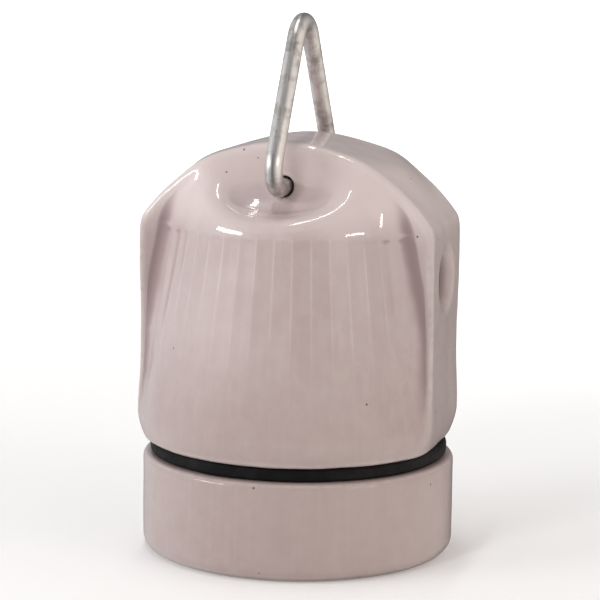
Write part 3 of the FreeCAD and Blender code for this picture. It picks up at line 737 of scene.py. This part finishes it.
def make_gasket():
    corners = [(GASKET_BORE, RING_TOP), (GASKET_RADIUS, RING_TOP), (GASKET_RADIUS, RIM), (GASKET_BORE, RIM)]
    outline = rounded(corners, 0.3, [0.3, 0.9, 0.9, 0.3])

    def uneven(r, z, a):
        x, y = r * np.cos(a), r * np.sin(a)
        return r + ramp(r, 27, 28) * (0.10 * waves(x, y, z, 7.0, 31) - 0.12)

    obj = lathe("gasket_rubber", outline, 300, uneven)
    obj.data.materials.append(rubber("black_rubber"))
    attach(obj, "housing")
    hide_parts("sealing_gasket")


def bail_path(step=0.4):
    """The wire's centreline: out of the hole, up the front leg, over the top and down the back."""
    lean = math.radians(32.6)
    apex_radius, foot_radius = 6.1, 4.0
    end_y = 4.0
    apex_z = BAIL_HIGH[2] / MM - WIRE_RADIUS
    top_y = apex_radius * math.cos(lean)
    top_z = apex_z - apex_radius + apex_radius * math.sin(lean)
    foot_y = top_y + (top_z - BAIL_Z) * math.tan(lean)
    bend_y = foot_y - foot_radius * math.tan((math.pi / 2 + lean) / 2)
    straight = np.linspace(0, 1, int((bend_y - end_y) / step))
    points = [(end_y + (bend_y - end_y) * t, BAIL_Z) for t in straight]
    for a in np.linspace(-math.pi / 2, lean, int(foot_radius * (math.pi / 2 + lean) / step))[1:]:
        points.append((bend_y + foot_radius * math.cos(a), BAIL_Z + foot_radius + foot_radius * math.sin(a)))
    leg_y, leg_z = points[-1]
    for t in np.linspace(0, 1, int(math.hypot(leg_y - top_y, leg_z - top_z) / step))[1:]:
        points.append((leg_y + (top_y - leg_y) * t, leg_z + (top_z - leg_z) * t))
    for a in np.linspace(lean, math.pi / 2, 20)[1:]:
        points.append((apex_radius * math.cos(a), apex_z - apex_radius + apex_radius * math.sin(a)))
    half = np.array(points)
    front = np.stack([np.zeros(len(half)), -half[:, 0], half[:, 1]], 1)
    back = front[::-1][1:] * np.array([1, -1, 1])
    return np.concatenate([front, back])


def make_bail():
    path = bail_path()
    radii = WIRE_RADIUS - 0.02 + 0.012 * waves(*path.T, 9.0, 41)
    radii[0] = radii[-1] = 1.15
    radii[1] = radii[-2] = 1.5
    obj = tube("bail_wire_mesh", path, radii)
    obj.data.materials.append(galvanised("galvanised_wire"))
    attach(obj, "bail_wire")
    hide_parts("bail")


def make_shell():
    """The rolled E27 shell with its true right-hand thread, seven turns to the inch."""
    low, high = SHELL_LOW[2] / MM, SHELL_HIGH[2] / MM
    pitch = 25.4 / 7
    lead_in, mean_radius, top_radius, top_hole = 13.3, 12.75, 13.1, 9.0
    thickness, crest = 0.4, 0.52
    wall = [(lead_in, low)] + [(mean_radius, z) for z in np.arange(7.4, 28.6, 0.18)]
    wall += [(top_radius, 29.2), (top_radius, high - thickness)]
    inner = np.array(wall + [(top_hole, high - thickness)])
    outer = [(top_hole, high)] + [(r + thickness, z if z < 29.5 else high) for r, z in reversed(wall)]
    outline = np.concatenate([np.array(outer), inner])[::-1]

    def rolled(r, z, a):
        share = ramp(z, 7.2, 9.0) * ramp(-z, -27.5, -25.5)
        turn = (z / pitch - a / (2 * math.pi)) % 1.0
        return r + share * crest * np.cos(2 * math.pi * turn) * (r > 12)

    obj = lathe("rolled_shell", outline, 240, rolled)
    obj.data.materials.append(metal("shell_brass_rolled", (0.50, 0.33, 0.13), (0.78, 0.58, 0.28), 0.22, 0.36))
    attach(obj, "contact_block")
    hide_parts("screw_shell")


def make_core():
    reach = FLANGE_RADIUS + 0.8
    low, high = (-reach, -reach, CORE_FOOT - 0.8), (reach, reach, POST_TOP + 0.8)
    verts, quads = surface(core_field, low, high, 0.6)
    obj = mesh_object("core_biscuit", verts, quads)
    obj.data.materials.append(biscuit("biscuit_porcelain"))
    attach(obj, "contact_block")
    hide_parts("socket_core")


def finish_cad_metal():
    """Brass, bronze and zinc-plated steel for the CAD nodes that stay as they are."""
    bronze = metal("spring_bronze", (0.46, 0.26, 0.11), (0.72, 0.45, 0.22), 0.24, 0.38)
    brass = metal("machined_brass", (0.52, 0.36, 0.15), (0.78, 0.60, 0.30), 0.20, 0.34)
    zinc = metal("zinc_plate", (0.46, 0.46, 0.44), (0.68, 0.68, 0.66), 0.24, 0.40)
    choice = {
        "centre_contact_tab": bronze, "centre_contact_tongue": bronze,
        "live_terminal": brass, "neutral_terminal": brass,
    }
    done = {"upper_housing", "lower_ring", "sealing_gasket", "bail", "screw_shell", "socket_core"}
    for name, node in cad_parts.items():
        if name not in done:
            for place in node.material_slots:
                place.material = choice.get(name, zinc)


# ---- studio ------------------------------------------------------------------
def make_stage():
    """A floor that curves up into a wall behind the object, in metres."""
    width, depth, bend_radius, height = 6.0, 3.0, 1.2, 3.0
    line = [(-depth, 0.0)]
    for a in np.linspace(0, math.pi / 2, 24):
        y = depth - bend_radius + bend_radius * math.sin(a)
        line.append((y, bend_radius - bend_radius * math.cos(a)))
    line.append((depth, height))
    verts = []
    for y, z in line:
        verts += [(-width / MM, y / MM, z / MM), (width / MM, y / MM, z / MM)]
    quads = np.array([[2 * k, 2 * k + 1, 2 * k + 3, 2 * k + 2] for k in range(len(line) - 1)])
    obj = mesh_object("studio_sweep", verts, quads)
    obj.data.materials.append(studio_surface("studio_white"))
    obj.visible_glossy = False


def area_light(name, place, target, size, power, colour, glossy=True):
    """A rectangular light, out of the camera's sight, that shines from place towards target."""
    data = bpy.data.lights.new(name, "AREA")
    data.shape = "RECTANGLE"
    data.size, data.size_y = size
    data.energy = power
    data.color = colour
    obj = bpy.data.objects.new(name, data)
    obj.location = place
    obj.rotation_euler = (Vector(target) - Vector(place)).to_track_quat("-Z", "Y").to_euler()
    obj.visible_camera = False
    obj.visible_glossy = glossy
    bpy.context.collection.objects.link(obj)


def make_world():
    """A studio all round: cool and light grey on the left, dark in the middle, bright and faintly peach on
    the right.
    """
    left, middle, right = (0.78, 0.78, 0.79), (0.14, 0.14, 0.14), (1.0, 0.92, 0.87)
    world = bpy.data.worlds.new("studio")
    bpy.context.scene.world = world
    world.use_nodes = True
    nodes, links = world.node_tree.nodes, world.node_tree.links
    split = nodes.new("ShaderNodeSeparateXYZ")
    across = nodes.new("ShaderNodeMapRange")
    across.inputs["From Min"].default_value = -1.0
    tint = nodes.new("ShaderNodeValToRGB")
    tint.color_ramp.interpolation = "EASE"
    tint.color_ramp.elements.new(0.5)
    for element, colour in zip(tint.color_ramp.elements, (left, middle, right)):
        element.color = (*colour, 1)
    links.new(nodes.new("ShaderNodeTexCoord").outputs["Generated"], split.inputs[0])
    links.new(split.outputs["X"], across.inputs["Value"])
    links.new(across.outputs["Result"], tint.inputs["Fac"])
    links.new(tint.outputs["Color"], nodes["Background"].inputs["Color"])
    nodes["Background"].inputs["Strength"].default_value = 1.08


def make_lights():
    """The view transform and the lights; places and sizes in metres, powers in watts."""
    bpy.context.scene.view_settings.view_transform = "Standard"
    body = (0, 0, 0.05)
    area_light("key", (-0.774, -0.552, 0.36), body, (0.45, 0.06), 2.7, (1.0, 0.99, 0.99))
    area_light("glint", (0.865, -0.394, 0.38), body, (0.30, 0.03), 0.9, (1.0, 0.95, 0.90))
    area_light("front", (-0.30, -0.87, 0.50), body, (0.20, 0.20), 2.0, (1.0, 0.99, 0.98), glossy=False)
    area_light("top", (-0.08, 0.0, 1.1), body, (0.70, 0.05), 2.6, (1.0, 1.0, 1.0))
    area_light("backdrop", (0, 0.9, 1.3), (0, 2.4, 0.3), (2.4, 0.8), 55.0, (1.0, 1.0, 1.0))


def make_camera():
    azimuth, pitch, roll = math.radians(15.5), math.radians(9.8), math.radians(0.7)
    distance = 0.5
    target = Vector((0, 0, 0.0479))
    ahead = math.cos(pitch)
    away = Vector((math.sin(azimuth) * ahead, -math.cos(azimuth) * ahead, math.sin(pitch)))
    data = bpy.data.cameras.new("camera")
    data.sensor_width = 36.0
    data.lens = 156.4
    data.clip_start, data.clip_end = 0.01, 50
    obj = bpy.data.objects.new("camera", data)
    turn = (-away).to_track_quat("-Z", "Y").to_matrix().to_4x4()
    obj.matrix_world = Matrix.Translation(target + away * distance) @ turn @ Matrix.Rotation(roll, 4, "Z")
    bpy.context.collection.objects.link(obj)
    bpy.context.scene.camera = obj


make_camera()
make_world()
make_lights()
make_stage()
make_housing()
make_ring()
make_gasket()
make_bail()
make_shell()
make_core()
finish_cad_metal()
